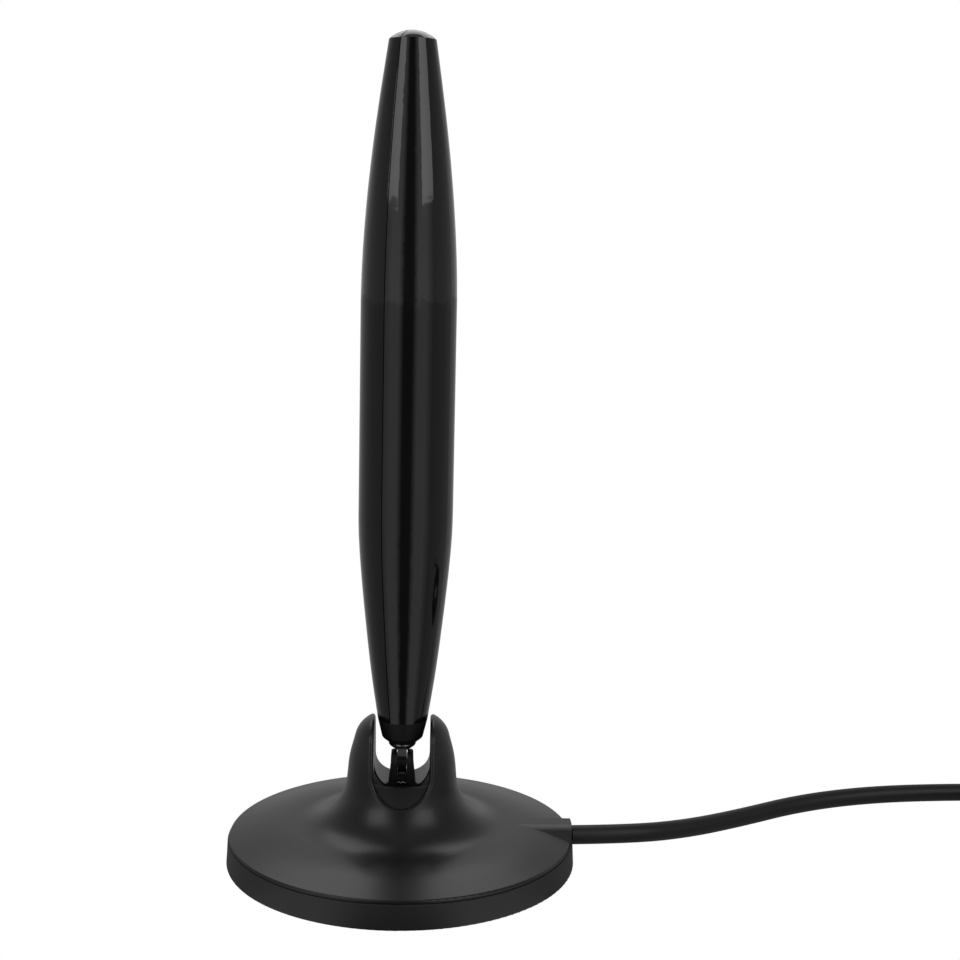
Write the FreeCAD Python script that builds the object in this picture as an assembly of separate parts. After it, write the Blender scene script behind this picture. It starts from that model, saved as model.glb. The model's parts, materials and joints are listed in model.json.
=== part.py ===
import FreeCAD, Part
import math
import os

# Indoor television aerial: one round spindle wand on a tilting, swivelling knuckle, in a bell-shaped
# saddle on a weighted round base, with a coaxial lead that ends in a screw-on connector.
# Millimetres. +Z is up, the origin is at the centre of the foot pad's underside, +X is the lead's
# side, and the wand tilts about an axis along X.

V = FreeCAD.Vector

# ---- base shell and foot pad
base_radius = 50.0
wall_draft = 0.4
foot_proud = 0.6
parting_z = 7.65
parting_gap = 0.15
shell_wall = 2.2
shell_floor = 2.0
pad_recess = 0.8
pad_margin = 4.0
fit_gap = 0.1

# ---- cover: corners of its outline, each with the rounding there
rim_inset = 0.8
rim_rise = 1.0
rim_round = 0.5
dome_inset = 13.0
dome_rise = 3.95
dome_round = 60.0
foot_radius = 16.9
foot_rise = 4.65
foot_round = 14.5
waist_radius = 15.1
waist_above_pivot = 2.1
waist_round = 30.0
horn_radius = 11.95
horn_above_pivot = 13.5
horn_round = 7.0
cover_wall = 2.0
skirt_depth = 2.0
skirt_wall = 1.6

# ---- trough through the saddle, in which the wand folds down
trough_clearance = 0.81
trough_below_pivot = 0.7
trough_wall = 1.8
trough_lip = 1.0
trough_edge_round = 0.8

# ---- lead boss on the cover's rim
boss_inner_x = 25.0
boss_cheek = 0.65
boss_roof = 0.9
boss_edge_round = 0.4
boss_flare = 4.1
boss_front_inset = 1.0
boss_front_round = 7.0
boss_end_inset = 0.7

# ---- ballast, pillars and their screws
ballast_play = 1.7
ballast_thick = 3.0
ballast_notch_half = 5.0
pillar_place_radius = 22.0
pillar_radius = 3.2
pillar_gap = 1.8
pillar_angles = (60.0, 180.0, 300.0)
screw_radius = 1.3
screw_head_radius = 2.6
screw_length = 7.0

# ---- hinge: fork, tongue between its cheeks, pin and washers
pivot_z = 29.7
post_depth_half = 3.5
post_foot_spread = 0.98
post_knee_spread = 0.13
post_knee_drop = 0.8
post_round = 1.3
fork_wall = 1.62
pin_radius = 1.0
pin_clearance = 0.05
tongue_half = 1.3
tongue_radius = 3.25
tongue_floor_gap = 0.3
neck_half = 3.0
washer_thick = 0.12
washer_rim = 1.6
washer_play = 0.08
flange_edge = 2.4
flange_half_y = 4.6
flange_thick = 2.4
post_screw_x = 11.6
post_screw_radius = 1.0
post_screw_length = 8.0
post_pillar_radius = 2.3
apron_above_floor = 0.25
apron_thick = 1.6
window_half = 1.6
window_drop = 1.0
window_height = 1.65
window_depth = 2.0
clip_wire = 0.45

# ---- knuckle's shoulder, stem and the swivel's stop
shoulder_clearance = 0.43
shoulder_height = 2.02
shoulder_rim = 1.7
stem_radius = 2.2
stem_height = 7.9
swivel_gap = 0.1
swivel_running = 0.05
collar_rim = 0.8
collar_thick = 1.4
lug_rim = 1.5
lug_running = 0.2
lug_half_angle = 7.0
rib_half_angle = 7.5
circlip_thick = 0.5
circlip_rim = 0.9
groove_depth = 0.5
swivel_rest = -29.0

# ---- wand: end cap, then lower taper, barrel, upper taper and crown
cap_bottom_inset = 3.17
cap_corner_inset = 1.32
cap_corner_height = 1.6
cap_floor_height = 3.7
cap_height = 7.05
cap_spigot_length = 5.0
cap_spigot_wall = 1.0
cap_spigot_play = 0.42
wand_wall = 1.8
lower_taper_length = 59.6
barrel_radius = 13.25
barrel_length = 57.6
upper_taper_length = 71.1
crease_radius = 6.44
crown_height = 2.5
seam_half = 0.14
seam_depth = 0.3

# how the tapers swell: share of the taper's length, share of its change of radius
lower_taper = ((0.178, 0.267), (0.475, 0.619), (0.763, 0.895))
upper_taper = ((0.312, 0.127), (0.624, 0.443), (0.908, 0.854))

# ---- circuit board in the wand
board_foot_gap = 20.0
board_head_gap = 23.5
board_side_gap = 0.9
board_thick = 1.2
element_thick = 0.3
element_inset = 1.0
element_gap = 14.0
board_screw_inset = 10.0
board_screw_radius = 1.0
board_pillar_radius = 2.3
balun_size = 6.0
balun_length = 9.0
balun_height = 50.0

# ---- lead: coaxial cable and the thin lead that goes on through the hinge
cable_radius = 2.75
cable_rest = 1.85
cable_clearance = 0.1
coax_inner_x = 14.0
clamp_x = 18.0
clamp_width = 5.0
clamp_wall = 1.0
clamp_foot = 4.4
thin_radius = 0.8
thin_running = 0.3
thin_bend = 4.0

# ---- coil and connector of the put-away lead
coil_x = 217.0
coil_y = 16.3
coil_outer_turn = 38.25
coil_turns = 4
ferrule_wall = 0.75
ferrule_length = 9.0
body_radius = 4.4
body_length = 3.0
mandrel_radius = 3.4
mandrel_wall = 0.6
mandrel_lip = 0.8
nut_bore = 4.75
nut_wall = 1.25
nut_length = 9.5
nut_web = 2.0
nut_running = 0.08
nut_knurls = 24
core_radius = 0.5
core_proud = 1.5
tie_width = 6.0
tie_thick = 1.0

# ---- heights and radii that follow from the sizes above
rim_bottom_z = parting_z + parting_gap
floor_top_z = foot_proud + pad_recess + shell_floor
cable_z = floor_top_z + cable_rest + cable_radius
boss_top_z = cable_z + cable_radius + cable_clearance + boss_roof
boss_half = cable_radius + cable_clearance + boss_cheek
cable_exit_x = base_radius - boss_end_inset
skirt_outer = base_radius - wall_draft - shell_wall - fit_gap
fork_half = tongue_half + washer_play + washer_thick
fork_floor_z = pivot_z - tongue_radius - tongue_floor_gap
post_half_top = fork_half + fork_wall
shoulder_low_z = pivot_z + post_depth_half + shoulder_clearance
shoulder_z = shoulder_low_z + shoulder_height
cap_floor_z = shoulder_z + cap_floor_height
collar_z = cap_floor_z + swivel_gap
circlip_z = collar_z + collar_thick
lug_radius = stem_radius + lug_rim
cap_cavity_radius = lug_radius + lug_running
cap_spigot_radius = cap_cavity_radius + cap_spigot_wall
cap_top_radius = cap_spigot_radius + cap_spigot_play + wand_wall
cap_top_z = shoulder_z + cap_height
barrel_low_z = cap_top_z + lower_taper_length
barrel_high_z = barrel_low_z + barrel_length
crease_z = barrel_high_z + upper_taper_length
trough_half = cap_top_radius + trough_clearance
trough_centre_z = pivot_z - trough_below_pivot
trough_floor_z = trough_centre_z - trough_half
flange_top_z = trough_floor_z - trough_wall - fit_gap
flange_bottom_z = flange_top_z - flange_thick
board_low_z = cap_top_z + board_foot_gap
board_high_z = crease_z - board_head_gap
board_middle_z = (board_low_z + board_high_z) / 2
board_screw_z = (board_low_z + board_screw_inset, board_middle_z, board_high_z - board_screw_inset)
nut_radius = nut_bore + nut_wall
connector_z = nut_radius + fit_gap
far = 400.0

# ---- free lead: points of its route and of its end, chosen by hand
route = (
    (cable_exit_x, 0.0, cable_z),
    (66.0, 2.0, 7.6),
    (84.0, 12.5, 5.2),
    (103.0, 27.5, 3.0),
    (126.0, 42.5, 2.75),
    (150.0, 51.0, 2.75),
    (177.0, 54.4, 2.75),
    (203.0, 54.6, 2.75),
)
tail = (
    (254.0, 12.0, 7.6),
    (257.5, -5.0, 6.9),
    (263.0, -22.0, connector_z),
    (263.0, -39.0, connector_z),
)


def box(x0, x1, y0, y1, z0, z1):
    return Part.makeBox(x1 - x0, y1 - y0, z1 - z0, V(x0, y0, z0))


def rod(radius, start, end):
    """A round bar between two points."""
    a = V(*start)
    along = V(*end) - a
    return Part.makeCylinder(radius, along.Length, a, along)


def upright(radius, x, y, z0, z1):
    return rod(radius, (x, y, z0), (x, y, z1))


def tube(outer, inner, z0, z1, x=0.0, y=0.0):
    return upright(outer, x, y, z0, z1).cut(upright(inner, x, y, z0 - 1, z1 + 1))


def rounded_path(corners, closed=False):
    """Edges of straight runs with tangent arcs. Each corner is (point, radius).

    Two arcs that meet on a short run share it, each in proportion to its size.
    """
    count = len(corners)
    points = [point for point, _ in corners]
    half_turns = []
    reaches = []
    for i, (point, radius) in enumerate(corners):
        if not closed and i in (0, count - 1):
            half_turns.append(0.0)
            reaches.append(0.0)
            continue
        back = points[i - 1] - point
        ahead = points[(i + 1) % count] - point
        half_turns.append((math.pi - back.getAngle(ahead)) / 2)
        reaches.append(radius * math.tan(half_turns[-1]))
    pieces = []
    for i, (point, radius) in enumerate(corners):
        if reaches[i] <= 0:
            pieces.append((point, point, None))
            continue
        share = 1.0
        for j in (i - 1, (i + 1) % count):
            run = point.distanceToPoint(points[j])
            share = min(share, run / (reaches[i] + reaches[j]))
        back = (points[i - 1] - point).normalize()
        ahead = (points[(i + 1) % count] - point).normalize()
        reach = reaches[i] * share
        radius = radius * share
        bisector = (back + ahead).normalize()
        middle = point + bisector * (radius / math.cos(half_turns[i]) - radius)
        pieces.append((point + back * reach, point + ahead * reach, middle))
    edges = []
    for i, (enter, leave, middle) in enumerate(pieces):
        if middle is not None:
            edges.append(Part.Arc(enter, middle, leave).toShape())
        last = i == count - 1
        if last and not closed:
            break
        following = pieces[(i + 1) % count][0]
        if leave.distanceToPoint(following) > 1e-6:
            edges.append(Part.LineSegment(leave, following).toShape())
    return edges


def turned(corners):
    """A solid of revolution about Z from (radius, height, rounding) corners of a closed outline."""
    path = rounded_path([(V(r, 0, z), rounding) for r, z, rounding in corners], closed=True)
    face = Part.Face(Part.Wire(path))
    return face.revolve(V(0, 0, 0), V(0, 0, 1), 360)


def along_y(corners, y0, y1):
    """A bar along Y from (x, z, rounding) corners of its section."""
    path = rounded_path([(V(x, y0, z), rounding) for x, z, rounding in corners], closed=True)
    return Part.Face(Part.Wire(path)).extrude(V(0, y1 - y0, 0))


def along_x(corners, x0, x1):
    """A bar along X from (y, z, rounding) corners of its section."""
    path = rounded_path([(V(x0, y, z), rounding) for y, z, rounding in corners], closed=True)
    return Part.Face(Part.Wire(path)).extrude(V(x1 - x0, 0, 0))


def about_z(shape, angle):
    shape = shape.copy()
    shape.rotate(V(0, 0, 0), V(0, 0, 1), angle)
    return shape


def polar(radius, angle):
    a = math.radians(angle)
    return radius * math.cos(a), radius * math.sin(a)


def bell(inset, bottom_z):
    """The cover's outer form, drawn inwards by inset, from bottom_z up."""
    rim = base_radius - rim_inset - inset
    top = pivot_z + horn_above_pivot - inset
    return turned(
        [
            (0, bottom_z, 0),
            (rim, bottom_z, 0),
            (rim, parting_z + rim_rise - inset, rim_round),
            (base_radius - dome_inset, parting_z + dome_rise - inset, dome_round),
            (foot_radius - inset, parting_z + foot_rise - inset, foot_round + inset),
            (waist_radius - inset, pivot_z + waist_above_pivot, waist_round - inset),
            (horn_radius - inset, top, horn_round - inset),
            (0, top, 0),
        ]
    )


def trough(half):
    """The U-shaped way through the saddle along Y, with a round floor of radius half."""
    floor = rod(half, (0, -far, trough_centre_z), (0, far, trough_centre_z))
    return floor.fuse(box(-half, half, -far, far, trough_centre_z, far))


def trough_edges(shape):
    """The edges where the trough breaks through the saddle's outer surface."""
    found = []
    for edge in shape.Edges:
        if edge.Curve.TypeId == "Part::GeomLine":
            continue
        on_wall = True
        for share in (0.1, 0.5, 0.9):
            spot = edge.valueAt(edge.FirstParameter + share * (edge.LastParameter - edge.FirstParameter))
            drop = min(spot.z - trough_centre_z, 0.0)
            on_wall = on_wall and abs(math.hypot(spot.x, drop) - trough_half) < 0.01
        if on_wall:
            found.append(edge)
    return found


def trough_mouth(inset, front_y):
    """The open front half of the trough's floor, down into the base, and the way for the post."""
    half = trough_half - inset
    front = box(-half, half, -far, front_y, parting_z + foot_rise, trough_centre_z)
    return front.common(bell(trough_lip + inset, rim_bottom_z))


def post_outline(grow, low_z, top_z):
    """The fork's front outline from low_z up, with a knee below the pivot, all grown outwards by grow."""
    foot = post_half_top + post_foot_spread + grow
    knee = post_half_top + post_knee_spread + grow
    top = post_half_top + grow
    knee_z = pivot_z - post_knee_drop
    corners = [
        (-foot, low_z, 0),
        (foot, low_z, 0),
        (foot, trough_floor_z, 0),
        (knee, knee_z, 0),
        (top, top_z, post_round),
        (-top, top_z, post_round),
        (-knee, knee_z, 0),
        (-foot, trough_floor_z, 0),
    ]
    depth = post_depth_half + grow
    return along_y(corners, -depth, depth)


def lead_boss(low_z):
    """Flat-topped boss along +X, with a crisp back edge and a front that rolls down to the rim."""
    flank_z = parting_z + 1.2
    corners = [
        (-boss_half - boss_flare, low_z, 0),
        (boss_half + boss_flare, low_z, 0),
        (boss_half + boss_flare, flank_z, 0),
        (boss_half + 0.5, flank_z + 0.6, 2.6),
        (boss_half, boss_top_z, boss_edge_round),
        (boss_front_inset - boss_half, boss_top_z, boss_front_round),
        (-boss_half - boss_flare, flank_z, 0),
    ]
    bar = along_x(corners, boss_inner_x, base_radius)
    return bar.common(upright(cable_exit_x, 0, 0, low_z, boss_top_z))


def cable_way(x0):
    """The round way for the lead through the rim, opened downwards so that it drops in."""
    radius = cable_radius + cable_clearance
    way = rod(radius, (x0, 0, cable_z), (base_radius + 5, 0, cable_z))
    return way.fuse(box(x0, base_radius + 5, -radius, radius, rim_bottom_z - 4, cable_z))


def screw_head_up(x, y, z, shank, head, length):
    """A countersunk screw that enters upwards from z, with a cross recess in its head."""
    cone_height = head - shank
    body = Part.makeCone(head, shank, cone_height, V(x, y, z))
    body = body.fuse(upright(shank, x, y, z + cone_height - 0.05, z + length))
    arm = head * 0.55
    slot = 0.22 * head
    cross = box(x - arm, x + arm, y - slot / 2, y + slot / 2, z - 1, z + 0.5)
    cross = cross.fuse(box(x - slot / 2, x + slot / 2, y - arm, y + arm, z - 1, z + 0.5))
    return body.cut(cross)


# ---------------------------------------------------------------- base


def base_cover():
    solid = bell(0, rim_bottom_z).cut(trough(trough_half))
    solid = solid.makeFillet(trough_edge_round, trough_edges(solid))
    solid = solid.fuse(lead_boss(rim_bottom_z))
    channel = trough(trough_half + trough_wall)
    solid = solid.cut(bell(cover_wall, rim_bottom_z - 1).cut(channel))
    for angle in pillar_angles:
        x, y = polar(pillar_place_radius, angle)
        pillar = upright(pillar_radius, x, y, floor_top_z + fit_gap, trough_floor_z)
        solid = solid.fuse(pillar.common(bell(cover_wall / 2, floor_top_z)))
    for side in (-1, 1):
        x = side * post_screw_x
        pillar = upright(post_pillar_radius, x, 0, flange_top_z + fit_gap, pivot_z)
        solid = solid.fuse(pillar.common(bell(cover_wall / 2, rim_bottom_z)))
    skirt = tube(skirt_outer, skirt_outer - skirt_wall, parting_z - skirt_depth, rim_bottom_z + 0.3)
    solid = solid.fuse(skirt)
    solid = solid.cut(trough(trough_half))
    solid = solid.cut(trough_mouth(0, 0.0))
    solid = solid.cut(post_outline(fit_gap, parting_z + foot_rise, pivot_z))
    solid = solid.cut(cable_way(coax_inner_x))
    for angle in pillar_angles:
        x, y = polar(pillar_place_radius, angle)
        z = foot_proud + pad_recess
        solid = solid.cut(upright(screw_radius, x, y, z, z + screw_length))
    for side in (-1, 1):
        z = flange_bottom_z
        solid = solid.cut(upright(post_screw_radius, side * post_screw_x, 0, z, z + post_screw_length))
    return solid


def base_shell():
    top = parting_z
    outer = base_radius - wall_draft
    body = turned(
        [
            (0, foot_proud, 0),
            (base_radius, foot_proud, 0.5),
            (outer, top, 0.2),
            (outer - shell_wall, top, 0),
            (outer - shell_wall, floor_top_z, 0.6),
            (0, floor_top_z, 0),
        ]
    )
    pocket = base_radius - pad_margin + fit_gap
    body = body.cut(upright(pocket, 0, 0, 0, foot_proud + pad_recess))
    wall_in = outer - shell_wall - 1
    body = body.cut(rod(cable_radius + cable_clearance, (wall_in, 0, cable_z), (far, 0, cable_z)))
    z = foot_proud + pad_recess
    for angle in pillar_angles:
        x, y = polar(pillar_place_radius, angle)
        body = body.cut(upright(screw_radius + fit_gap, x, y, z, floor_top_z))
        sink = screw_head_radius - screw_radius
        body = body.cut(Part.makeCone(screw_head_radius, screw_radius, sink, V(x, y, z)))
    rest_low = floor_top_z - 0.3
    rest_high = cable_z - cable_radius
    rest = box(clamp_x - clamp_width / 2, clamp_x + clamp_width / 2, -2.0, 2.0, rest_low, rest_high)
    body = body.fuse(rest.cut(rod(cable_radius, (0, 0, cable_z), (far, 0, cable_z))))
    for side in (-1, 1):
        y = side * clamp_screw_y()
        body = body.cut(upright(0.9, clamp_x, y, floor_top_z - 1.6, floor_top_z))
    return body


def foot_pad():
    pad_radius = base_radius - pad_margin
    return turned(
        [
            (0, 0, 0),
            (pad_radius, 0, 0.4),
            (pad_radius, foot_proud + pad_recess, 0),
            (0, foot_proud + pad_recess, 0),
        ]
    )


def ballast_weight():
    low = floor_top_z
    outer = skirt_outer - skirt_wall - ballast_play
    inner = pillar_place_radius + pillar_radius + pillar_gap
    ring = tube(outer, inner, low, low + ballast_thick)
    notch = box(0, base_radius, -ballast_notch_half, ballast_notch_half, low - 1, low + ballast_thick + 1)
    return ring.cut(notch)


def base_screws():
    z = foot_proud + pad_recess
    screws = []
    for angle in pillar_angles:
        x, y = polar(pillar_place_radius, angle)
        screws.append(screw_head_up(x, y, z, screw_radius, screw_head_radius, screw_length))
    return Part.makeCompound(screws)


# ---------------------------------------------------------------- hinge in the saddle


def hinge_post():
    """The fork, its screw flange, and the apron that closes the front of the trough."""
    low = flange_bottom_z
    half_x = post_screw_x + flange_edge
    flange = box(-half_x, half_x, -flange_half_y, flange_half_y, low, flange_top_z)
    flange = flange.common(bell(cover_wall + fit_gap, rim_bottom_z))
    post = post_outline(0, low, pivot_z + post_depth_half)
    round_top = rod(post_depth_half, (-far, 0, pivot_z), (far, 0, pivot_z))
    post = post.common(round_top.fuse(box(-far, far, -far, far, low, pivot_z)))
    apron_top = fork_floor_z + apron_above_floor
    filling = trough_mouth(fit_gap, -fit_gap)
    filling = filling.common(box(-far, far, -far, far, flange_top_z - 1.0, apron_top))
    apron = filling.cut(bell(trough_lip + fit_gap + apron_thick, 0))
    foot = filling.cut(trough(trough_half + 0.3))
    solid = flange.fuse([post, foot, apron]).removeSplitter()
    solid = solid.cut(box(-fork_half, fork_half, -post_depth_half, far, fork_floor_z, far))
    solid = solid.cut(box(-fork_half, fork_half, -far, 0, fork_floor_z, far).cut(apron))
    solid = solid.cut(rod(pin_radius, (-far, 0, pivot_z), (far, 0, pivot_z)))
    y = -post_depth_half
    high = fork_floor_z - window_drop
    window = box(-window_half, window_half, y - 1, y + window_depth, high - window_height, high)
    solid = solid.cut(window)
    solid = solid.cut(upright(thin_radius + fit_gap, 0, 0, low - 1, fork_floor_z + 1))
    for side in (-1, 1):
        solid = solid.cut(upright(post_screw_radius + fit_gap, side * post_screw_x, 0, low - 1, pivot_z))
    return solid


def post_screws():
    z = flange_bottom_z - 1.2
    screws = []
    for side in (-1, 1):
        x = side * post_screw_x
        head = upright(2.0, x, 0, z, z + 1.2)
        shank = upright(post_screw_radius, x, 0, z + 1.2, z + 1.2 + post_screw_length)
        slot = box(x - 0.25, x + 0.25, -1.4, 1.4, z - 1, z + 0.6)
        slot = slot.fuse(box(x - 1.4, x + 1.4, -0.25, 0.25, z - 1, z + 0.6))
        screws.append(head.fuse(shank).cut(slot))
    return Part.makeCompound(screws)


def hinge_pin():
    half = post_half_top + 0.1
    return rod(pin_radius, (-half, 0, pivot_z), (half, 0, pivot_z))


def friction_washers():
    rings = []
    for side in (-1, 1):
        inner = side * (fork_half - washer_thick)
        outer = side * fork_half
        ring = rod(pin_radius + washer_rim, (inner, 0, pivot_z), (outer, 0, pivot_z))
        hole = rod(pin_radius, (-far, 0, pivot_z), (far, 0, pivot_z))
        rings.append(ring.cut(hole))
    return Part.makeCompound(rings)


def lead_clip():
    """Bent wire clip across the window in the post's front, which keeps the thin lead in its bore."""
    y = -post_depth_half + clip_wire
    middle_z = fork_floor_z - window_drop - window_height / 2
    crest = window_height / 4
    reach = window_half - fit_gap
    corners = [
        (V(-reach, y, middle_z - crest), 0),
        (V(-0.6 * reach, y, middle_z + crest), 0.35),
        (V(-0.2 * reach, y, middle_z - crest), 0.35),
        (V(0.2 * reach, y, middle_z + crest), 0.35),
        (V(0.6 * reach, y, middle_z - crest), 0.35),
        (V(reach, y, middle_z + crest), 0),
    ]
    return swept(corners, clip_wire / 2)


def swept(corners, radius):
    """A round bar along straight runs and tangent arcs."""
    spine = Part.Wire(rounded_path(corners))
    first = corners[0][0]
    along = corners[1][0] - first
    profile = Part.Wire(Part.Circle(first, along, radius).toShape())
    return spine.makePipeShell([profile], True, False)


# ---------------------------------------------------------------- knuckle and swivel


def knuckle():
    tongue = rod(tongue_radius, (-tongue_half, 0, pivot_z), (tongue_half, 0, pivot_z))
    neck = box(-tongue_half, tongue_half, -neck_half, neck_half, pivot_z, shoulder_z - 0.6)
    rim = stem_radius + shoulder_rim
    stem_top_z = shoulder_z + stem_height
    shoulder = turned(
        [
            (0, shoulder_low_z, 0),
            (stem_radius, shoulder_low_z, 0),
            (rim, shoulder_z - 0.35 * shoulder_height, 1.0),
            (rim, shoulder_z, 0.2),
            (stem_radius, shoulder_z, 0),
            (stem_radius, stem_top_z, 0.3),
            (0, stem_top_z, 0),
        ]
    )
    solid = tongue.fuse([neck, shoulder]).removeSplitter()
    hole = pin_radius + pin_clearance
    solid = solid.cut(rod(hole, (-far, 0, pivot_z), (far, 0, pivot_z)))
    groove = tube(stem_radius + 1, stem_radius - groove_depth, circlip_z, circlip_z + circlip_thick)
    solid = solid.cut(groove)
    bore = thin_radius + thin_running
    return solid.cut(upright(bore, 0, 0, shoulder_z - 0.5, stem_top_z + 1))


def sector(inner, outer, half_angle, middle_angle, z0, z1):
    """Part of a ring, half_angle degrees each side of middle_angle."""
    ring = tube(outer, inner, z0, z1)
    wedge = [V(0, 0, z0)]
    for angle in (middle_angle - half_angle, middle_angle + half_angle):
        x, y = polar(outer * 2, angle)
        wedge.append(V(x, y, z0))
    wedge.append(wedge[0])
    prism = Part.Face(Part.makePolygon(wedge)).extrude(V(0, 0, z1 - z0))
    return ring.common(prism)


def swivel_collar():
    rim = stem_radius + collar_rim
    ring = tube(rim, stem_radius, collar_z, circlip_z)
    return ring.fuse(sector(rim - 0.5, lug_radius, lug_half_angle, 0.0, collar_z, circlip_z))


def swivel_circlip():
    high = circlip_z + circlip_thick
    ring = tube(stem_radius + circlip_rim, stem_radius - groove_depth, circlip_z, high)
    return ring.cut(box(0, far, -0.9, 0.9, circlip_z - 1, high + 1))


# ---------------------------------------------------------------- wand


def taper_points(start, end, shares):
    """Points of a taper from start to end, each (radius, height), swelling by the given shares."""
    points = [start]
    for along, change in shares:
        radius = start[0] + change * (end[0] - start[0])
        points.append((radius, start[1] + along * (end[1] - start[1])))
    return points + [end]


def lower_stations():
    return taper_points((cap_top_radius, cap_top_z), (barrel_radius, barrel_low_z), lower_taper)


def upper_stations():
    return taper_points((barrel_radius, barrel_high_z), (crease_radius, crease_z), upper_taper)


def wand_radius(z):
    """The wand's outer radius at a height, on straight lines between its stations."""
    stations = lower_stations() + upper_stations()
    for (r0, z0), (r1, z1) in zip(stations, stations[1:]):
        if z0 <= z <= z1:
            return r0 + (r1 - r0) * (z - z0) / (z1 - z0)
    return 0.0


def wand_outline(inset):
    """The wand's outer form above its end cap, drawn inwards by inset."""

    def taper(points, first_tangent, last_tangent):
        curve = Part.BSplineCurve()
        curve.interpolate(points, InitialTangent=first_tangent, FinalTangent=last_tangent)
        return curve.toShape()

    up = V(0, 0, 1)
    lower = [V(r - inset, 0, z) for r, z in lower_stations()]
    upper = [V(r - inset, 0, z) for r, z in upper_stations()]
    upper[-1].z -= inset
    into = (lower[1] - lower[0]).normalize()
    out = (upper[-1] - upper[-2]).normalize()
    edges = [taper(lower, into, up)]
    edges.append(Part.LineSegment(lower[-1], upper[0]).toShape())
    edges.append(taper(upper, up, out))
    rim = upper[-1]
    apex = V(0, 0, crease_z - inset + crown_height)
    sphere = (rim.x**2 + crown_height**2) / (2 * crown_height)
    half = math.asin(rim.x / sphere) / 2
    middle = V(sphere * math.sin(half), 0, apex.z - sphere * (1 - math.cos(half)))
    edges.append(Part.Arc(rim, middle, apex).toShape())
    foot = V(0, 0, cap_top_z)
    edges.append(Part.LineSegment(apex, foot).toShape())
    edges.append(Part.LineSegment(foot, lower[0]).toShape())
    return Part.Face(Part.Wire(edges)).revolve(V(0, 0, 0), V(0, 0, 1), 360)


def wand_half(side):
    """One moulded half: the front half is on the -X side before the wand is turned."""
    outer = wand_outline(0)
    wall = outer.cut(wand_outline(wand_wall))
    groove = outer.cut(wand_outline(seam_depth))
    groove = groove.common(box(-seam_half, seam_half, -far, far, 0, far))
    x0, x1 = (-far, 0) if side < 0 else (0, far)
    half = wall.cut(groove).common(box(x0, x1, -far, far, 0, far))
    if side > 0:
        for z in board_screw_z:
            pillar = rod(board_pillar_radius, (board_thick / 2, 0, z), (barrel_radius, 0, z))
            half = half.fuse(pillar.common(wand_outline(wand_wall / 2)))
            half = half.cut(rod(board_screw_radius, (0, 0, z), (board_thick / 2 + 4, 0, z)))
    return half


def wand_front_shell():
    return about_z(wand_half(-1), swivel_rest)


def wand_rear_shell():
    return about_z(wand_half(1), swivel_rest)


def wand_end_cap():
    bottom = shoulder_z + swivel_gap
    body = turned(
        [
            (0, bottom, 0),
            (cap_top_radius - cap_bottom_inset, bottom, 0.4),
            (cap_top_radius - cap_corner_inset, shoulder_z + cap_corner_height, 1.0),
            (cap_top_radius, cap_top_z, 0),
            (cap_spigot_radius, cap_top_z, 0),
            (cap_spigot_radius, cap_top_z + cap_spigot_length, 0.3),
            (0, cap_top_z + cap_spigot_length, 0),
        ]
    )
    body = body.cut(upright(stem_radius + swivel_running, 0, 0, 0, cap_floor_z))
    body = body.cut(upright(cap_cavity_radius, 0, 0, cap_floor_z, far))
    rib_inner = stem_radius + collar_rim + 0.15
    rib_outer = cap_cavity_radius + 0.3
    rib = sector(rib_inner, rib_outer, rib_half_angle, 180.0, cap_floor_z, circlip_z)
    return about_z(body.fuse(rib), swivel_rest)


def board_half():
    """Half the board's width, set by the narrower of its two ends in the wand."""
    return min(wand_radius(board_low_z), wand_radius(board_high_z)) - wand_wall - board_side_gap


def antenna_board():
    x = board_thick / 2
    board = box(-x, x, -board_half(), board_half(), board_low_z, board_high_z)
    for z in board_screw_z:
        board = board.cut(rod(board_screw_radius + 0.1, (-far, 0, z), (far, 0, z)))
    return about_z(board, swivel_rest)


def element(z0, z1):
    x = -board_thick / 2
    half = board_half() - element_inset
    plate = box(x - element_thick, x, -half, half, z0, z1)
    for z in board_screw_z:
        plate = plate.cut(rod(2.4, (-far, 0, z), (far, 0, z)))
    return about_z(plate, swivel_rest)


def upper_element():
    return element(board_middle_z + element_gap / 2, board_high_z - element_inset)


def lower_element():
    return element(board_low_z + element_inset, board_middle_z - element_gap / 2)


def board_screws():
    screws = []
    x = -board_thick / 2
    for z in board_screw_z:
        head = rod(1.9, (x - 1.2, 0, z), (x, 0, z))
        shank = rod(board_screw_radius, (x, 0, z), (x + board_thick + 4, 0, z))
        slot = box(x - 2, x - 0.7, -1.3, 1.3, z - 0.25, z + 0.25)
        slot = slot.fuse(box(x - 2, x - 0.7, -0.25, 0.25, z - 1.3, z + 1.3))
        screws.append(about_z(head.fuse(shank).cut(slot), swivel_rest))
    return Part.makeCompound(screws)


def balun_core():
    """Two-hole ferrite core that matches the balanced elements to the coaxial lead."""
    x = board_thick / 2
    half = balun_size / 2
    low = board_low_z + balun_height
    core = box(x, x + balun_size, -half, half, low, low + balun_length)
    core = core.makeFillet(0.5, [e for e in core.Edges if abs(e.Length - balun_length) < 1e-6])
    for side in (-1, 1):
        y = side * balun_size / 4
        core = core.cut(upright(0.8, x + half, y, 0, far))
    return about_z(core, swivel_rest)


def wand_lead():
    """Thin coax from the knuckle's hollow stem to the board's rear face."""
    x = board_thick / 2 + thin_radius + 0.05
    corners = [
        (V(0, 0, shoulder_z - 0.4), 0),
        (V(0, 0, board_low_z - 12.0), 12.0),
        (V(x, 0, board_low_z - 2.0), 12.0),
        (V(x, 0, board_low_z + 6.0), 0),
    ]
    return about_z(swept(corners, thin_radius), swivel_rest)


# ---------------------------------------------------------------- lead inside the base


def clamp_screw_y():
    return cable_radius + clamp_wall + clamp_foot / 2


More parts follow.
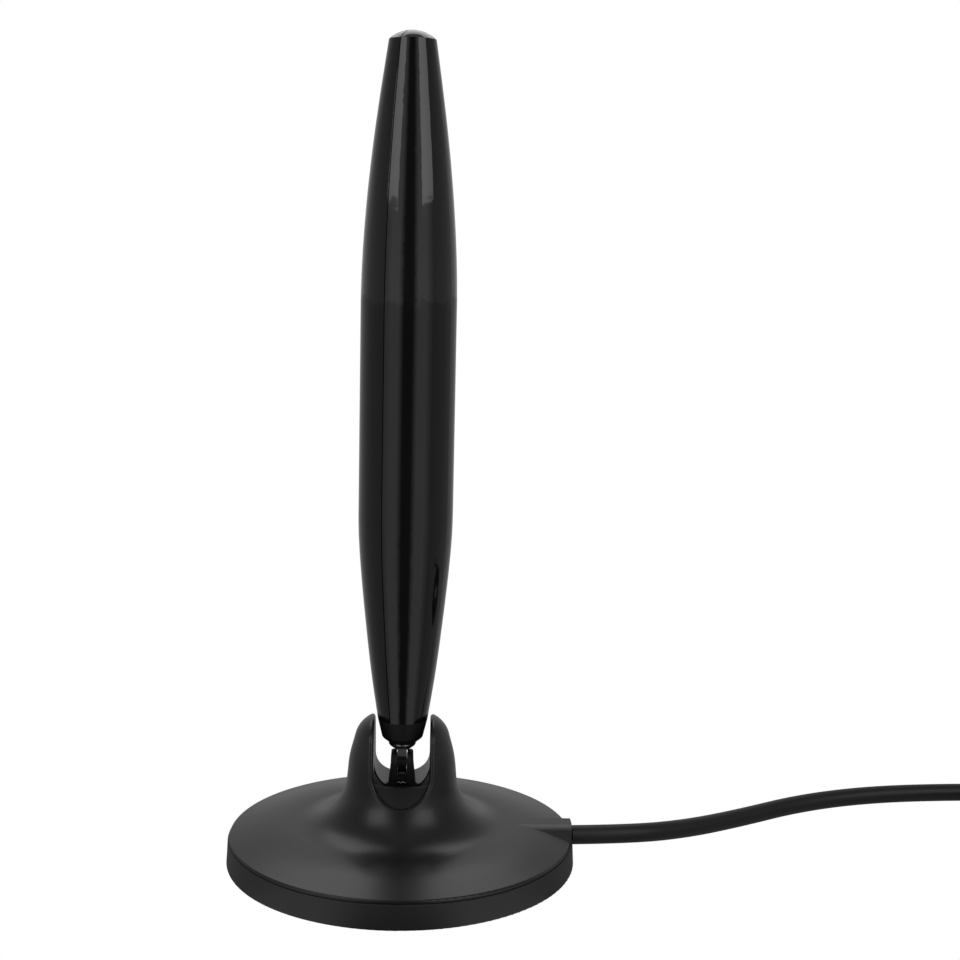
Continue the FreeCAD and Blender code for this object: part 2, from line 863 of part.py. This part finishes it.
def cable_clamp():
    half = clamp_width / 2
    x0, x1 = clamp_x - half, clamp_x + half
    outer = cable_radius + clamp_wall
    foot = outer + clamp_foot
    body = rod(outer, (x0, 0, cable_z), (x1, 0, cable_z))
    body = body.fuse(box(x0, x1, -outer, outer, floor_top_z, cable_z))
    body = body.fuse(box(x0, x1, -foot, foot, floor_top_z, floor_top_z + clamp_wall))
    body = body.cut(rod(cable_radius, (0, 0, cable_z), (far, 0, cable_z)))
    body = body.cut(box(x0 - 1, x1 + 1, -cable_radius, cable_radius, 0, cable_z))
    for side in (-1, 1):
        body = body.cut(upright(1.0, clamp_x, side * clamp_screw_y(), 0, far))
    return body


def clamp_screws():
    screws = []
    z = floor_top_z + clamp_wall
    for side in (-1, 1):
        y = side * clamp_screw_y()
        head = upright(1.7, clamp_x, y, z, z + 1.1)
        shank = upright(0.9, clamp_x, y, z - clamp_wall - 1.5, z)
        slot = box(clamp_x - 1.2, clamp_x + 1.2, y - 0.25, y + 0.25, z + 0.6, z + 2)
        slot = slot.fuse(box(clamp_x - 0.25, clamp_x + 0.25, y - 1.2, y + 1.2, z + 0.6, z + 2))
        screws.append(head.fuse(shank).cut(slot))
    return Part.makeCompound(screws)


def coax_in_base():
    return rod(cable_radius, (coax_inner_x, 0, cable_z), (cable_exit_x, 0, cable_z))


def lead_in_post():
    corners = [
        (V(coax_inner_x, 0, cable_z), 0),
        (V(0, 0, cable_z), thin_bend),
        (V(0, 0, fork_floor_z), 0),
    ]
    return swept(corners, thin_radius)


# ---------------------------------------------------------------- free lead


def cable_run(points, name):
    """Straight runs joined by arcs as large as the two runs at each corner allow."""
    places = [V(*p) for p in points]
    corners = [(places[0], 0)]
    for before, here, after in zip(places, places[1:], places[2:]):
        back = here - before
        ahead = after - here
        shorter = min(back.Length, ahead.Length)
        radius = 0.45 * shorter / math.tan(back.getAngle(ahead) / 2)
        print(name, "radius", round(radius, 1))
        corners.append((here, radius))
    corners.append((places[-1], 0))
    length = Part.Wire(rounded_path(corners)).Length
    solid = swept(corners, cable_radius)
    section = math.pi * cable_radius**2
    share = solid.Volume / section / length
    print(name, "length", round(length, 1), "volume over section x length", round(share, 4))
    return solid


def antenna_cable():
    return cable_run(route, "antenna_cable")


def cable_tail():
    return cable_run(tail, "cable_tail")


def coil_section(grow=0.0):
    """Corners of the coil's section: the lower turns side by side, fewer turns on top."""
    outer = coil_outer_turn + cable_radius + grow
    inner = outer - coil_turns * 2 * cable_radius - 2 * grow
    shoulder = 1.67 * cable_radius + grow
    top = 3.745 * cable_radius + grow
    return [
        (inner, 0, 0),
        (outer, 0, 0),
        (outer, shoulder, 0),
        (outer - cable_radius, top, 0),
        (inner + cable_radius, top, 0),
        (inner, shoulder, 0),
    ]


def cable_coil():
    coil = turned(coil_section())
    coil.translate(V(coil_x, coil_y, 0))
    return coil


def cable_tie():
    """Hook-and-loop strap round the turns on the side away from the base."""
    outer = turned(coil_section(tie_thick))
    inner = turned(coil_section())
    band = outer.cut(inner)
    band = band.common(box(-tie_width / 2, tie_width / 2, -far, 0, -far, far))
    band.translate(V(coil_x, coil_y, 0))
    return band


def connector_axis_point(along):
    """A point on the connector's axis, measured from the lead's end towards -Y."""
    end_x, end_y, _ = tail[-1]
    return (end_x, end_y - along, connector_z)


def connector_ferrule():
    radius = cable_radius + ferrule_wall
    outer = rod(radius, connector_axis_point(-ferrule_length), connector_axis_point(0))
    return outer.cut(rod(cable_radius, connector_axis_point(-far), connector_axis_point(far)))


def connector_body():
    """Body with a short mandrel through the nut's web, and a lip beyond it that keeps the nut on."""
    flange = rod(body_radius, connector_axis_point(0), connector_axis_point(body_length))
    web_end = body_length + nut_web + 2 * nut_running
    end = web_end + mandrel_lip
    mandrel = rod(mandrel_radius, connector_axis_point(body_length), connector_axis_point(end))
    lip = rod(mandrel_radius + 0.7, connector_axis_point(web_end), connector_axis_point(end))
    hollow_start = connector_axis_point(body_length + mandrel_wall)
    hollow = rod(mandrel_radius - mandrel_wall, hollow_start, connector_axis_point(end + 1))
    way = rod(core_radius, connector_axis_point(-1), connector_axis_point(end))
    return flange.fuse([mandrel, lip]).cut(hollow).cut(way)


def connector_nut():
    start = body_length + nut_running
    outer = rod(nut_radius, connector_axis_point(start), connector_axis_point(start + nut_length))
    bore = rod(nut_bore, connector_axis_point(start + nut_web), connector_axis_point(far))
    way = rod(mandrel_radius + nut_running, connector_axis_point(0), connector_axis_point(far))
    solid = outer.cut(bore).cut(way)
    cutters = []
    for i in range(nut_knurls):
        dx, dz = polar(nut_radius + 0.25, 360.0 * i / nut_knurls)
        x, y, z = connector_axis_point(start + nut_web - 0.5)
        cutters.append(rod(0.5, (x + dx, y, z + dz), (x + dx, y - nut_length, z + dz)))
    return solid.cut(cutters)


def centre_conductor():
    end = body_length + nut_length + core_proud
    return rod(core_radius, connector_axis_point(0), connector_axis_point(end))


NODES = (
    base_cover,
    base_shell,
    foot_pad,
    ballast_weight,
    base_screws,
    hinge_post,
    post_screws,
    hinge_pin,
    friction_washers,
    lead_clip,
    knuckle,
    swivel_collar,
    swivel_circlip,
    wand_front_shell,
    wand_rear_shell,
    wand_end_cap,
    antenna_board,
    upper_element,
    lower_element,
    board_screws,
    balun_core,
    wand_lead,
    cable_clamp,
    clamp_screws,
    coax_in_base,
    lead_in_post,
    antenna_cable,
    cable_tail,
    cable_coil,
    cable_tie,
    connector_ferrule,
    connector_body,
    connector_nut,
    centre_conductor,
)

os.makedirs("parts", exist_ok=True)
for make in NODES:
    shape = make()
    if not shape.isValid():
        raise ValueError(make.__name__ + " is not a valid solid")
    shape.exportStep("parts/" + make.__name__ + ".step")
    low, high = shape.BoundBox.ZMin, shape.BoundBox.ZMax
    print(make.__name__, len(shape.Solids), round(shape.Volume, 1), round(low, 2), round(high, 2))
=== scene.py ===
import json
import math

import bmesh
import bpy
from mathutils import Matrix, Vector


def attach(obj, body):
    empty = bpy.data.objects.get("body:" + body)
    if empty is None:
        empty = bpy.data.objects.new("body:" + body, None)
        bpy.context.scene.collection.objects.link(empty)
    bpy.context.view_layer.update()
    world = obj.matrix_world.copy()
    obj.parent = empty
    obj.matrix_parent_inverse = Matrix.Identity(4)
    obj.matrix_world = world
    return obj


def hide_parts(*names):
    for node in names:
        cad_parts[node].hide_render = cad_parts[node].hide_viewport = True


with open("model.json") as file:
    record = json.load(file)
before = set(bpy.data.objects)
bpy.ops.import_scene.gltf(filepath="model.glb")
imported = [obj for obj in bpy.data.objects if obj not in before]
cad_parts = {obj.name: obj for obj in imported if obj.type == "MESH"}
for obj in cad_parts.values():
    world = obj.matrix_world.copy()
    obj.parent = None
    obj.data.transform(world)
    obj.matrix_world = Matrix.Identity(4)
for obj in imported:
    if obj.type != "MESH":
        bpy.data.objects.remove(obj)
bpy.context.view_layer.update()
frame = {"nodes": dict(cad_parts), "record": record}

MM = 0.001
NODES = frame["nodes"]

# the free lead: its route repeats the model's given points, in metres
CABLE_RADIUS = 2.75 * MM
ROUTE = (
    (0.0493, 0.0, 0.0080),
    (0.066, 0.002, 0.0076),
    (0.084, 0.0125, 0.0052),
    (0.103, 0.0275, 0.0030),
    (0.126, 0.0425, 0.00275),
    (0.150, 0.0510, 0.00275),
    (0.177, 0.0544, 0.00275),
    (0.203, 0.0546, 0.00275),
)
TAIL = (
    (0.2540, 0.012, 0.0076),
    (0.2575, -0.005, 0.0069),
    (0.263, -0.022, 0.0061),
    (0.263, -0.039, 0.0061),
)
COIL_CENTRE = Vector((0.217, 0.0163, 0.0))
COIL_OUTER_TURN = 0.03825
POINTS_PER_TURN = 16

# the coil: turns on the floor, the climb, and the turns on top of those
LOWER_TURNS = 4
LOWER_WOUND = 3.5
CLIMB_WOUND = 0.35
UPPER_WOUND = 2.4
UPPER_RISE = 1.74 * CABLE_RADIUS

# how bright the room and the floor are in what the surfaces reflect
HORIZON_STRENGTH = 1.4
OVERHEAD_STRENGTH = 0.7
FLOOR_STRENGTH = 1.0

# brightness all round, from straight in front (0) to straight behind (1)
SURROUND = (
    (0.0, 0.04),
    (0.06, 0.05),
    (0.13, 0.50),
    (0.24, 0.50),
    (0.34, 0.20),
    (0.60, 0.22),
    (1.0, 0.42),
)

# the camera's place in metres, its turns in degrees, and its lens in millimetres
CAMERA_PLACE = (0.00656, -0.44245, 0.1806)
CAMERA_YAW = -1.82
CAMERA_PITCH = -8.834
CAMERA_ROLL = 1.269
CAMERA_LENS = 60.0

# the soft lights: name, place, target, width, height and watts
LIGHTS = (
    ("top_back", (-0.10, 0.55, 0.75), (0, 0, 0), 0.8, 0.5, 1.5),
    ("front_left", (-0.55, -0.50, 0.55), (0, 0, 0.02), 0.5, 0.5, 1.0),
    ("front_right", (0.55, -0.50, 0.55), (0, 0, 0.02), 0.5, 0.5, 1.0),
)

# the strap round the coil, with its free end lapped over the top
STRAP_WIDTH = 6.0 * MM
STRAP_THICK = 0.9 * MM
STRAP_CORNER = 1.2 * MM
STRAP_EDGE = 0.15 * MM
STRAP_LAP = 9.0 * MM
STRAP_LAP_GAP = 0.1 * MM
STRAP_LAP_STEPS = 6

# the knuckle is bare metal above this height; below it is painted shade, black non-metal standing
# in for the shade on its lower part
KNUCKLE_SHADE_LINE = 0.0321
KNUCKLE_PAINTED_SHADE = 0.008

WEAVE_SCALE = 260.0
WEAVE_RELIEF = 0.0002


def grey(level):
    return (level, level, level)


FINISH_TABLE = {
    "cover_plastic": (grey(0.016), 0.31, {"grain": 1500, "relief": 0.00001}),
    "shell_plastic": (grey(0.022), 0.52, {"grain": 2600, "relief": 0.00005}),
    "pad_rubber": (grey(0.025), 0.85, {"grain": 1400, "relief": 0.00008}),
    "ballast_steel": (grey(0.42), 0.42, {"metal": 1.0, "grain": 700}),
    "screw_steel": ((0.58, 0.58, 0.56), 0.3, {"metal": 1.0, "grain": 1800}),
    "hinge_plastic": (grey(0.006), 0.62, {"grain": 2200}),
    "pin_steel": (grey(0.5), 0.22, {"metal": 1.0, "grain": 2500}),
    "spring_bronze": ((0.6, 0.42, 0.25), 0.3, {"metal": 1.0}),
    "clip_wire": ((0.45, 0.45, 0.43), 0.25, {"metal": 1.0}),
    "knuckle_metal": (grey(0.40), 0.30, {"metal": 1.0, "grain": 1500, "relief": 0.00001}),
    "collar_plastic": ((0.75, 0.74, 0.7), 0.45, {}),
    "wand_plastic": (grey(0.004), 0.07, {"grain": 220, "relief": 0.0000012, "coat": 0.3}),
    "cap_plastic": (grey(0.007), 0.55, {"grain": 2400}),
    "board": ((0.02, 0.12, 0.05), 0.38, {"grain": 1300, "mottle": 0.25}),
    "element_copper": ((0.8, 0.42, 0.26), 0.3, {"metal": 1.0, "grain": 600}),
    "ferrite": (grey(0.06), 0.6, {"grain": 1600, "relief": 0.00005}),
    "thin_lead": ((0.09, 0.085, 0.08), 0.5, {}),
    "cable_jacket": (grey(0.010), 0.46, {"grain": 1300}),
    "tie_fabric": (grey(0.02), 0.85, {}),
    "connector_metal": (grey(0.7), 0.2, {"metal": 1.0, "grain": 1200, "relief": 0.00001}),
    "conductor": ((0.82, 0.48, 0.3), 0.25, {"metal": 1.0}),
}


def link(name, data):
    obj = bpy.data.objects.new(name, data)
    bpy.context.scene.collection.objects.link(obj)
    return obj


# ---------------------------------------------------------------- camera, lights and floor


def make_camera():
    camera = link("camera", bpy.data.cameras.new("camera"))
    camera.data.lens = CAMERA_LENS
    camera.data.sensor_width = 36.0
    camera.data.clip_start = 0.01
    yaw = Matrix.Rotation(math.radians(CAMERA_YAW), 4, "Z")
    pitch = Matrix.Rotation(math.radians(90 + CAMERA_PITCH), 4, "X")
    roll = Matrix.Rotation(math.radians(CAMERA_ROLL), 4, "Z")
    camera.matrix_world = Matrix.Translation(CAMERA_PLACE) @ yaw @ pitch @ roll
    bpy.context.scene.camera = camera


def area_light(name, place, target, width, height, watts):
    light = bpy.data.lights.new(name, "AREA")
    light.shape = "RECTANGLE"
    light.size = width
    light.size_y = height
    light.energy = watts
    obj = link(name, light)
    obj.location = place
    aim = Vector(target) - Vector(place)
    obj.rotation_euler = aim.to_track_quat("-Z", "Y").to_euler()


def surround(tree, place):
    """Brightness round the object by direction: dark in front, a band each side, pale behind."""
    split = tree.nodes.new("ShaderNodeSeparateXYZ")
    tree.links.new(place, split.inputs["Vector"])
    forward = tree.nodes.new("ShaderNodeMath")
    forward.operation = "MULTIPLY"
    forward.inputs[1].default_value = -1.0
    tree.links.new(split.outputs["Y"], forward.inputs[0])
    turn = tree.nodes.new("ShaderNodeMath")
    turn.operation = "ARCTAN2"
    tree.links.new(split.outputs["X"], turn.inputs[0])
    tree.links.new(forward.outputs["Value"], turn.inputs[1])
    share = tree.nodes.new("ShaderNodeMath")
    share.operation = "ABSOLUTE"
    tree.links.new(turn.outputs["Value"], share.inputs[0])
    half_turn = tree.nodes.new("ShaderNodeMapRange")
    half_turn.inputs["From Max"].default_value = math.pi
    tree.links.new(share.outputs["Value"], half_turn.inputs["Value"])
    levels = tree.nodes.new("ShaderNodeValToRGB")
    steps = levels.color_ramp.elements
    while len(steps) < len(SURROUND):
        steps.new(0.5)
    for step, (position, level) in zip(steps, SURROUND):
        step.position = position
        step.color = (*grey(level), 1)
    tree.links.new(half_turn.outputs["Result"], levels.inputs["Fac"])
    return levels.outputs["Color"]


def by_ray(tree, seen, other):
    """A shader that is one thing to the camera, and another in reflections and as light."""
    path = tree.nodes.new("ShaderNodeLightPath")
    choice = tree.nodes.new("ShaderNodeMixShader")
    tree.links.new(path.outputs["Is Camera Ray"], choice.inputs["Fac"])
    tree.links.new(other, choice.inputs[1])
    tree.links.new(seen, choice.inputs[2])
    return choice.outputs["Shader"]


def make_world():
    """White to the camera, and a room that darkens upwards in reflections."""
    world = bpy.data.worlds.new("studio")
    bpy.context.scene.world = world
    world.use_nodes = True
    tree = world.node_tree
    backdrop = tree.nodes["Background"]
    backdrop.inputs["Color"].default_value = (1, 1, 1, 1)
    backdrop.inputs["Strength"].default_value = 1.0
    place = tree.nodes.new("ShaderNodeTexCoord")
    room = tree.nodes.new("ShaderNodeBackground")
    tree.links.new(surround(tree, place.outputs["Generated"]), room.inputs["Color"])
    split = tree.nodes.new("ShaderNodeSeparateXYZ")
    tree.links.new(place.outputs["Generated"], split.inputs["Vector"])
    height = tree.nodes.new("ShaderNodeMapRange")
    height.inputs["From Max"].default_value = 0.7
    height.inputs["To Min"].default_value = HORIZON_STRENGTH
    height.inputs["To Max"].default_value = OVERHEAD_STRENGTH
    tree.links.new(split.outputs["Z"], height.inputs["Value"])
    tree.links.new(height.outputs["Result"], room.inputs["Strength"])
    both = by_ray(tree, backdrop.outputs["Background"], room.outputs["Background"])
    tree.links.new(both, tree.nodes["World Output"].inputs["Surface"])


def make_floor():
    """A table top, burnt out to white for the camera and softly lit in reflections."""
    mesh = bpy.data.meshes.new("floor")
    shape = bmesh.new()
    bmesh.ops.create_grid(shape, x_segments=1, y_segments=1, size=4.0)
    shape.to_mesh(mesh)
    shape.free()
    floor = link("floor", mesh)
    paint = bpy.data.materials.new("floor")
    paint.use_nodes = True
    tree = paint.node_tree
    white = tree.nodes.new("ShaderNodeEmission")
    white.inputs["Strength"].default_value = 1.0
    place = tree.nodes.new("ShaderNodeTexCoord")
    glow = tree.nodes.new("ShaderNodeEmission")
    tree.links.new(surround(tree, place.outputs["Object"]), glow.inputs["Color"])
    glow.inputs["Strength"].default_value = FLOOR_STRENGTH
    both = by_ray(tree, white.outputs["Emission"], glow.outputs["Emission"])
    tree.links.new(both, tree.nodes["Material Output"].inputs["Surface"])
    mesh.materials.append(paint)


# ---------------------------------------------------------------- the free lead


def turn_points(first_radius, last_radius, z0, z1, turns, start_angle):
    """Points of flat turns wound clockwise seen from above, from start_angle in degrees."""
    count = round(turns * POINTS_PER_TURN)
    points = []
    for i in range(1, count + 1):
        share = i / count
        radius = first_radius + (last_radius - first_radius) * share
        angle = math.radians(start_angle - 360.0 * turns * share)
        spot = Vector((radius * math.cos(angle), radius * math.sin(angle), z0 + (z1 - z0) * share))
        points.append(COIL_CENTRE + spot)
    return points


def lead_points():
    """The whole lead: out along its route, round the coil in two layers, and off to its end."""
    low = CABLE_RADIUS
    high = low + UPPER_RISE
    outer = COIL_OUTER_TURN
    inner = outer - (LOWER_TURNS - 1) * 2 * CABLE_RADIUS
    climbed = inner + CABLE_RADIUS
    climb_from = 90.0 - 360.0 * LOWER_WOUND
    upper_from = climb_from - 360.0 * CLIMB_WOUND
    points = [Vector(p) for p in ROUTE]
    points += turn_points(outer, inner, low, low, LOWER_WOUND, 90.0)
    points += turn_points(inner, climbed, low, high, CLIMB_WOUND, climb_from)
    points += turn_points(climbed, outer - CABLE_RADIUS, high, high, UPPER_WOUND, upper_from)
    points += [Vector(p) for p in TAIL]
    return points


def make_lead(strap):
    curve = bpy.data.curves.new("antenna_lead", "CURVE")
    curve.dimensions = "3D"
    curve.bevel_depth = CABLE_RADIUS
    curve.bevel_resolution = 6
    curve.resolution_u = 8
    curve.use_fill_caps = True
    points = lead_points()
    spline = curve.splines.new("NURBS")
    spline.points.add(len(points) - 1)
    for knot, point in zip(spline.points, points):
        knot.co = (*point, 1.0)
    spline.order_u = 3
    spline.use_endpoint_u = True
    lead = link("antenna_lead", curve)
    curve.materials.append(FINISHES["cable_jacket"])
    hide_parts("antenna_cable", "cable_tail", "cable_coil")
    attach(lead, "base")


def strap_path():
    """Corners of the strap's closed outline: (radius from the coil's axis, height)."""
    outer = COIL_OUTER_TURN + CABLE_RADIUS
    inner = outer - LOWER_TURNS * 2 * CABLE_RADIUS
    low = 1.67 * CABLE_RADIUS
    top = 3.745 * CABLE_RADIUS
    return (
        (inner, 0.0),
        (outer, 0.0),
        (outer, low),
        (outer - CABLE_RADIUS, top),
        (inner + CABLE_RADIUS, top),
        (inner, low),
    )


def make_strap():
    """Hook-and-loop strap round the turns: a closed band, and its free end as a short open one."""
    corners = [Vector((r, z)) for r, z in strap_path()]
    shape = bmesh.new()

    def row(spot, out):
        """The band's two edges at a place (radius, height), moved outwards by out."""
        y = COIL_CENTRE.y - spot.x - out.x
        z = spot.y + out.y
        half = STRAP_WIDTH / 2
        return [shape.verts.new((COIL_CENTRE.x + side * half, y, max(z, 0.0))) for side in (-1, 1)]

    def band(spots, outs, closed):
        rings = []
        for spot, out in zip(spots, outs):
            inner = row(spot, out * 0.05)
            outer = row(spot, out)
            rings.append([inner[0], inner[1], outer[1], outer[0]])
        pairs = list(zip(rings, rings[1:] + rings[:1] if closed else rings[1:]))
        for near, next_ring in pairs:
            for i in range(4):
                j = (i + 1) % 4
                shape.faces.new((near[i], near[j], next_ring[j], next_ring[i]))
        if not closed:
            shape.faces.new(rings[0][::-1])
            shape.faces.new(rings[-1])

    middle = sum(corners, Vector((0, 0))) / len(corners)
    spots = []
    outs = []
    count = len(corners)
    for i, corner in enumerate(corners):
        for other in (corners[i - 1], corners[(i + 1) % count]):
            run = other - corner
            spot = corner + run * min(0.2, STRAP_CORNER / run.length)
            spots.append(spot)
            along = run.normalized()
            out = Vector((along.y, -along.x))
            if out.dot(spot - middle) < 0:
                out = -out
            outs.append(out * STRAP_THICK)
    band(spots, outs, True)
    top = corners[3].y
    lap_start = (corners[3].x + corners[4].x) / 2 + STRAP_LAP / 2
    lift = Vector((0, STRAP_THICK))
    lap = []
    for i in range(STRAP_LAP_STEPS + 1):
        lap.append(Vector((lap_start - STRAP_LAP * i / STRAP_LAP_STEPS, top + STRAP_LAP_GAP)))
    band(lap, [lift] * len(lap), False)
    bmesh.ops.recalc_face_normals(shape, faces=shape.faces)
    mesh = bpy.data.meshes.new("lead_strap")
    shape.to_mesh(mesh)
    shape.free()
    strap = link("lead_strap", mesh)
    rounding = strap.modifiers.new("rounding", "BEVEL")
    rounding.width = STRAP_EDGE
    rounding.segments = 2
    mesh.materials.append(FINISHES["tie_fabric"])
    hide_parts("cable_tie")
    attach(strap, "base")
    return strap


# ---------------------------------------------------------------- finishes


def finish(name, colour, roughness, metal=0.0, grain=900.0, relief=0.00002, mottle=0.15, coat=0.0):
    """A surface with fine grain in its relief, and slow changes in its colour and roughness."""
    material = bpy.data.materials.new(name)
    material.use_nodes = True
    tree = material.node_tree
    surface = tree.nodes["Principled BSDF"]
    surface.inputs["Metallic"].default_value = metal
    surface.inputs["Coat Weight"].default_value = coat
    surface.inputs["Coat Roughness"].default_value = 0.03
    place = tree.nodes.new("ShaderNodeTexCoord")
    fine = tree.nodes.new("ShaderNodeTexNoise")
    fine.inputs["Scale"].default_value = grain
    fine.inputs["Detail"].default_value = 3.0
    slow = tree.nodes.new("ShaderNodeTexNoise")
    slow.inputs["Scale"].default_value = 55.0
    slow.inputs["Detail"].default_value = 4.0
    for noise in (fine, slow):
        tree.links.new(place.outputs["Object"], noise.inputs["Vector"])
    bump = tree.nodes.new("ShaderNodeBump")
    bump.inputs["Strength"].default_value = 1.0
    bump.inputs["Distance"].default_value = relief
    tree.links.new(fine.outputs["Fac"], bump.inputs["Height"])
    tree.links.new(bump.outputs["Normal"], surface.inputs["Normal"])
    shine = tree.nodes.new("ShaderNodeMapRange")
    shine.inputs["To Min"].default_value = roughness * (1 - mottle)
    shine.inputs["To Max"].default_value = roughness * (1 + mottle)
    tree.links.new(slow.outputs["Fac"], shine.inputs["Value"])
    tree.links.new(shine.outputs["Result"], surface.inputs["Roughness"])
    tone = tree.nodes.new("ShaderNodeValToRGB")
    tone.color_ramp.elements[0].position = 0.3
    tone.color_ramp.elements[1].position = 0.7
    tone.color_ramp.elements[0].color = (*[c * (1 - mottle) for c in colour], 1)
    tone.color_ramp.elements[1].color = (*[c * (1 + mottle) for c in colour], 1)
    tree.links.new(slow.outputs["Fac"], tone.inputs["Fac"])
    tree.links.new(tone.outputs["Color"], surface.inputs["Base Color"])
    return material


def paint_shade_below(material, line, shade_colour):
    """Paints shade below a height: the finish turns black and non-metal there, standing in for
    shade.
    """
    tree = material.node_tree
    surface = tree.nodes["Principled BSDF"]
    place = tree.nodes["Texture Coordinate"]
    split = tree.nodes.new("ShaderNodeSeparateXYZ")
    tree.links.new(place.outputs["Object"], split.inputs["Vector"])
    step = tree.nodes.new("ShaderNodeMath")
    step.operation = "GREATER_THAN"
    step.inputs[1].default_value = line
    tree.links.new(split.outputs["Z"], step.inputs[0])
    mix = tree.nodes.new("ShaderNodeMix")
    mix.data_type = "RGBA"
    mix.inputs["A"].default_value = (*shade_colour, 1)
    bare = surface.inputs["Base Color"].links[0].from_socket
    tree.links.new(step.outputs["Value"], mix.inputs["Factor"])
    tree.links.new(bare, mix.inputs["B"])
    tree.links.new(mix.outputs["Result"], surface.inputs["Base Color"])
    tree.links.new(step.outputs["Value"], surface.inputs["Metallic"])


def woven(material, threads, relief):
    """Replaces a finish's grain by crossing threads."""
    tree = material.node_tree
    place = tree.nodes["Texture Coordinate"]
    bump = tree.nodes["Bump"]
    crossing = tree.nodes.new("ShaderNodeMath")
    crossing.operation = "MAXIMUM"
    for i, direction in enumerate(("X", "Y")):
        wave = tree.nodes.new("ShaderNodeTexWave")
        wave.bands_direction = direction
        wave.inputs["Scale"].default_value = threads
        wave.inputs["Distortion"].default_value = 0.6
        tree.links.new(place.outputs["Object"], wave.inputs["Vector"])
        tree.links.new(wave.outputs["Fac"], crossing.inputs[i])
    tree.links.new(crossing.outputs["Value"], bump.inputs["Height"])
    bump.inputs["Distance"].default_value = relief


def make_finishes():
    made = {}
    for slot, (colour, roughness, grain) in FINISH_TABLE.items():
        made[slot] = finish(slot, colour, roughness, **grain)
    # painted shade: the knuckle's lower part is black non-metal, standing in for its shade
    paint_shade_below(made["knuckle_metal"], KNUCKLE_SHADE_LINE, grey(KNUCKLE_PAINTED_SHADE))
    woven(made["tie_fabric"], WEAVE_SCALE, WEAVE_RELIEF)
    return made


def dress_nodes():
    """Gives each CAD node the finish of its slot in the record."""
    for subpart in frame["record"]["subparts"]:
        mesh = NODES[subpart["node"]].data
        mesh.materials.clear()
        mesh.materials.append(FINISHES[subpart["material_slot"]])


bpy.context.scene.view_settings.view_transform = "Standard"
FINISHES = make_finishes()
dress_nodes()
make_camera()
make_lead(make_strap())
make_world()
make_floor()
for light in LIGHTS:
    area_light(*light)
